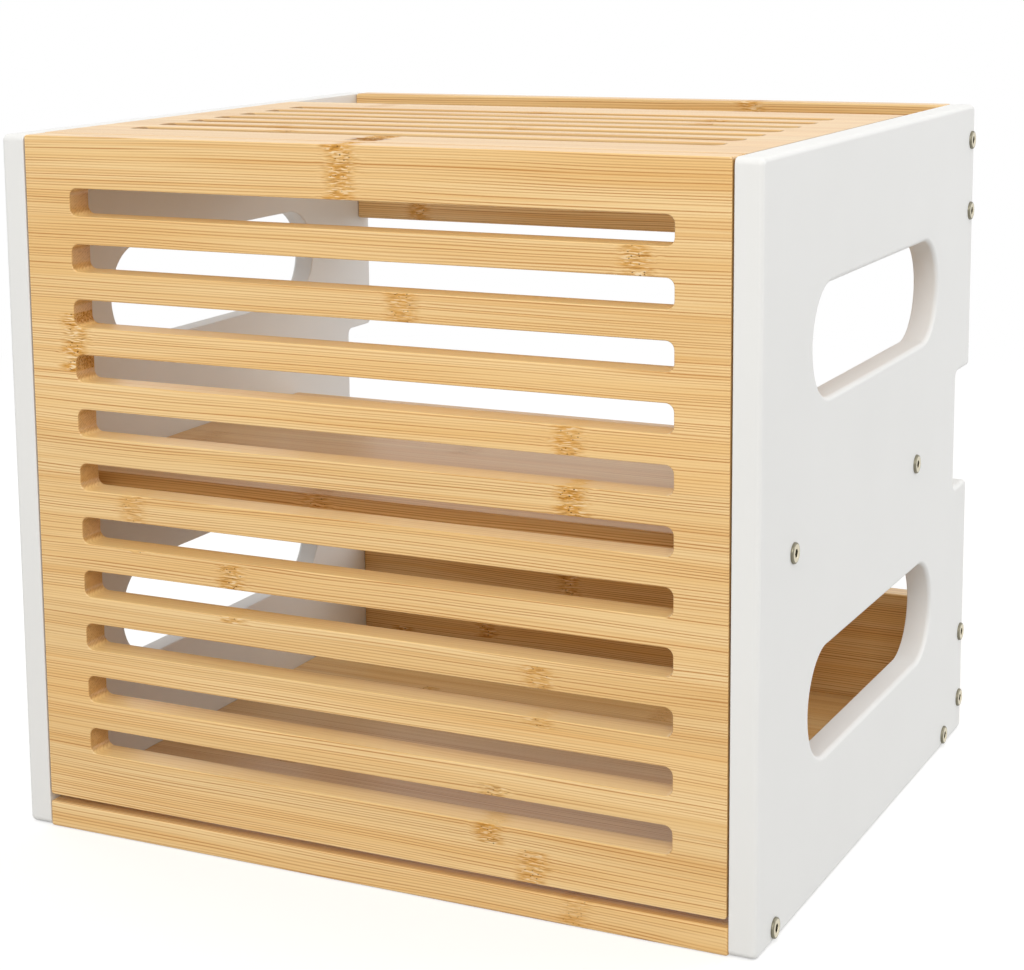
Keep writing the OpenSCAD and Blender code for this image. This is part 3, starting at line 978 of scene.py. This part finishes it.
white_paint, tree = new_material("satin_white_enamel")
point = add(tree, "TexCoord").outputs["Object"]
cloud = add(tree, "TexNoise", {"Vector": point, "Scale": 1 / CLOUD, "Detail": 2.0})
paint = add(tree, "Mix", {0: cloud, MIX_A: colour(PAINT_WHITE), MIX_B: colour(PAINT_SHADE)},
            data_type="RGBA")
ripple = add(tree, "TexNoise", {"Vector": point, "Scale": 1 / RIPPLE, "Detail": 1.0})
bump = add(tree, "Bump", {"Height": ripple, "Strength": RIPPLE_FELT, "Distance": RIPPLE_DEPTH})
rough = add(tree, "MapRange", {"Value": cloud, "To Min": PAINT_SMOOTHER,
                               "To Max": PAINT_ROUGHER})
shader = add(tree, "BsdfPrincipled", {"Base Color": paint.outputs[MIXED], "Roughness": rough,
                                      "Normal": bump, "IOR": PAINT_IOR})
add(tree, "OutputMaterial", {"Surface": shader})
for panel in panels:
    dress(panel, white_paint)
print("painted", [panel.name for panel in panels])

# %% [markdown]
# ## Metals
# The screws are steel with a thin, slightly warm nickel plate, the pins and discs are
# ground steel, and the magnets bright nickel. A metal's look is its colour, its roughness
# and the traces of how it was made, so one function gives each its own fine scratches.
# Real scratches are far finer than these, which are drawn coarse enough to show.

# %% Metals
SCRATCH_FELT, SCRATCH_DEPTH = 0.1, 0.01 * MM


def metal(name, tint, shade, smoothest, roughest, scratches):
    """A metal with fine scratches, given per millimetre along X, Y and Z."""
    made, tree = new_material(name)
    point = add(tree, "TexCoord").outputs["Object"]
    stretched = add(tree, "VectorMath", {0: point, 1: [s / MM for s in scratches]},
                    operation="MULTIPLY")
    streaks = add(tree, "TexNoise", {"Vector": stretched, "Scale": 1.0, "Detail": 3.0})
    paint = add(tree, "Mix", {0: streaks, MIX_A: colour(tint), MIX_B: colour(shade)},
                data_type="RGBA")
    rough = add(tree, "MapRange", {"Value": streaks, "To Min": smoothest, "To Max": roughest})
    bump = add(tree, "Bump", {"Height": streaks, "Strength": SCRATCH_FELT,
                              "Distance": SCRATCH_DEPTH})
    shader = add(tree, "BsdfPrincipled", {"Base Color": paint.outputs[MIXED], "Metallic": 1.0,
                                          "Roughness": rough, "Normal": bump})
    add(tree, "OutputMaterial", {"Surface": shader})
    return made


# Each metal: its two tints, its smoothest and roughest, and its scratches.
# Ground in straight passes: lines along X spread its highlight into a grey band.
ground_steel = metal("ground_steel", "#B4B3B0", "#93928F", 0.28, 0.42, (0.3, 4.0, 4.0))
# Plated and polished: the brightest of the metals, with a small clear highlight.
bright_nickel = metal("bright_nickel", "#D2CFC8", "#BCB8B0", 0.15, 0.25, (0.8, 0.8, 0.8))
for piece in magnets:
    dress(piece, bright_nickel)
for piece in strikes:
    dress(piece, ground_steel)
print("metal discs:", len(magnets + strikes))

# %% [markdown]
# ## The screws' plating
# The rim of a screw's head is painted greyer and darker and made rougher: the colour is painted
# shade and a painted dark reflection. The socket is painted nearly black, as painted shade in
# the hole. One material with masks could do it, but the three zones are whole faces, so they are
# three material slots, and each face takes the slot for its distance from the middle of its
# screw.

# %% Plated screws
EVEN = (0.9, 0.9, 0.9)
PLATE, RIM, SOCKET = 0, 1, 2

# Plate is warm and softly bright; the rim is greyer with painted shade, and rougher; the socket
# is nearly black with painted shade.
zones = (metal("nickel_plated_steel", "#D6CDB4", "#BDB49A", 0.24, 0.36, EVEN),
         metal("nickel_rim_painted_shade", "#8E8A78", "#6F6B5C", 0.35, 0.5, EVEN),
         metal("socket_steel_painted_shade", "#5C5748", "#39352B", 0.35, 0.5, EVEN))
for piece, places in screws:
    dress(piece, zones[PLATE])
    piece.data.materials.append(zones[RIM])
    piece.data.materials.append(zones[SOCKET])
    for face in piece.data.polygons:
        points = [piece.data.vertices[i].co for i in face.vertices]
        reach = [min(math.hypot(p.y - y, p.z - z) for y, z in places) for p in points]
        if min(reach) > HEAD_RADIUS - HEAD_RIM - SEAT_GAP:
            face.material_index = RIM
        elif max(reach) < SOCKET_RADIUS + SEAT_GAP:
            face.material_index = SOCKET
print("plated pairs:", len(screws))

# %% [markdown]
# ## Beech dowels
# The dowels are turned from raw beech, a pale wood with short darker flecks along the
# grain. They and the pins are CAD meshes that are already right. New pieces could replace
# them, but they are hidden in the boards, so they only get a better material.

# %% Dowels and pins
BEECH_PALE, BEECH_FLECK, BEECH_ROUGH = "#D9B47E", "#B98E57", 0.65
FLECKS = (0.25, 2.5, 2.5)

beech, tree = new_material("raw_beech")
point = add(tree, "TexCoord").outputs["Object"]
along = add(tree, "VectorMath", {0: point, 1: [f / MM for f in FLECKS]}, operation="MULTIPLY")
flecks = add(tree, "TexNoise", {"Vector": along, "Scale": 1.0, "Detail": 2.0})
paint = add(tree, "Mix", {0: flecks, MIX_A: colour(BEECH_PALE), MIX_B: colour(BEECH_FLECK)},
            data_type="RGBA")
shader = add(tree, "BsdfPrincipled", {"Base Color": paint.outputs[MIXED],
                                      "Roughness": BEECH_ROUGH})
add(tree, "OutputMaterial", {"Surface": shader})
for side in ("left", "right"):
    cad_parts[side + "_pivot_pin"].material_slots[0].material = ground_steel
    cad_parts[side + "_top_dowels"].material_slots[0].material = beech
print("CAD nodes dressed: pins and dowels")

# %% [markdown]
# ## Studio
# A box like this is shown on white, in soft light from every side. The world gives that
# even light. A white background at that strength would look grey, and more strength would
# burn out the white panels, so Light Path splits the two: rays that light the box get the
# even strength, and rays that the camera or a mirror sends past it see plain white.

# %% World
WHITE = (1, 1, 1, 1)
WORLD_LIGHT = 0.6


def seen_rays(tree):
    """1 for rays that come from the camera, a mirror or glass, and 0 for all others."""
    ray = add(tree, "LightPath")
    seen = add(tree, "Math", {0: ray.outputs["Is Camera Ray"], 1: ray.outputs["Is Glossy Ray"]},
               operation="MAXIMUM")
    return add(tree, "Math", {0: seen, 1: ray.outputs["Is Transmission Ray"]},
               operation="MAXIMUM")


world = bpy.data.worlds.new("white_studio")
bpy.context.scene.world = world
world.use_nodes = True
tree = world.node_tree
tree.nodes.clear()
even = add(tree, "Background", {"Color": WHITE, "Strength": WORLD_LIGHT})
shown = add(tree, "Background", {"Color": WHITE, "Strength": 1.0})
both = add(tree, "MixShader", {0: seen_rays(tree), 1: even, 2: shown})
add(tree, "OutputWorld", {"Surface": both})
print("even light:", WORLD_LIGHT)

# %% [markdown]
# ## Floor
# The floor is matt and pale, and keeps the box's soft shadow. A brighter floor would throw
# too much light up at the box, so it only glows a little for rays that are seen, and comes
# close to white that way. Further out it goes over to plain white, and no horizon shows.

# %% Floor
FLOOR_SIZE, FLOOR_DROP = 8, 0.2 * MM
FLOOR_MATT, FLOOR_LIFT = "#BCBCBB", 0.56
SHADOW_REACH, WHITE_FROM = 0.35, 1.1

bpy.ops.object.select_all(action="DESELECT")
bpy.ops.mesh.primitive_plane_add(size=FLOOR_SIZE, location=(0, 0, -FLOOR_DROP))
floor = bpy.context.active_object
floor.name = "studio_floor"
floor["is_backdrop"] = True
pale, tree = new_material("pale_studio_floor")
seen = seen_rays(tree)
lift = add(tree, "Math", {0: seen, 1: FLOOR_LIFT}, operation="MULTIPLY")
glow = add(tree, "Emission", {"Color": WHITE, "Strength": lift})
matt = add(tree, "BsdfDiffuse", {"Color": colour(FLOOR_MATT)})
close = add(tree, "AddShader", {0: matt, 1: glow})
distance = add(tree, "VectorMath", {0: add(tree, "TexCoord").outputs["Object"]},
               operation="LENGTH")
far = add(tree, "MapRange", {"Value": distance.outputs["Value"], "From Min": SHADOW_REACH,
                             "From Max": WHITE_FROM}, interpolation_type="SMOOTHSTEP")
far = add(tree, "Math", {0: far, 1: seen}, operation="MULTIPLY")
white = add(tree, "Emission", {"Color": WHITE, "Strength": 1.0})
both = add(tree, "MixShader", {0: far, 1: close, 2: white})
add(tree, "OutputMaterial", {"Surface": both})
dress(floor, pale)
print("floor, m:", FLOOR_SIZE)

# %% [markdown]
# ## Softboxes
# The even light alone would leave the box without form. A broad softbox in front and
# above is the key. Weaker ones at the right and left rear give the white panels their
# tone and shine in through the open rear, and one overhead lifts the top and the rear
# rail. Small lamps would throw hard shadows through the slots, so all are broad area
# lights.

# %% Softboxes
BOX_MIDDLE = Vector((0, 0, 0.13))
WARM, COOL = "#FFFDFA", "#FDFDFF"


def softbox(name, place, size, watts, tint):
    """A square area light that faces the middle of the box."""
    bpy.ops.object.select_all(action="DESELECT")
    bpy.ops.object.light_add(type="AREA", location=place)
    lamp = bpy.context.active_object
    lamp.name = name
    lamp.data.size = size
    lamp.data.energy = watts
    lamp.data.color = colour(tint)[:3]
    aim = BOX_MIDDLE - Vector(place)
    lamp.rotation_euler = aim.to_track_quat("-Z", "Y").to_euler()
    print(f"{name}: {watts} W")


# Each softbox: its place and its size in metres, its watts and its tint.
softbox("key_softbox", (0.6, -2.05, 1.75), 1.6, 40, WARM)
softbox("top_softbox", (0.4, 0.6, 2.2), 1.4, 8, WARM)
softbox("right_softbox", (2.0, 1.3, 0.7), 1.4, 16, COOL)
softbox("left_softbox", (-2.2, 0.8, 0.8), 1.4, 9, COOL)

# %% [markdown]
# ## Last checks
# Blender's default view transform would flatten the colours. It is set to Standard, so a colour
# shows as it was written. The box of the dressed model is printed in millimetres, to see that no
# piece has grown beyond its real size.

# %% Sizes and finish
bpy.context.scene.view_settings.view_transform = "Standard"
low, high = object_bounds()
print("visual box, mm:", [round(v / MM, 1) for v in high - low])
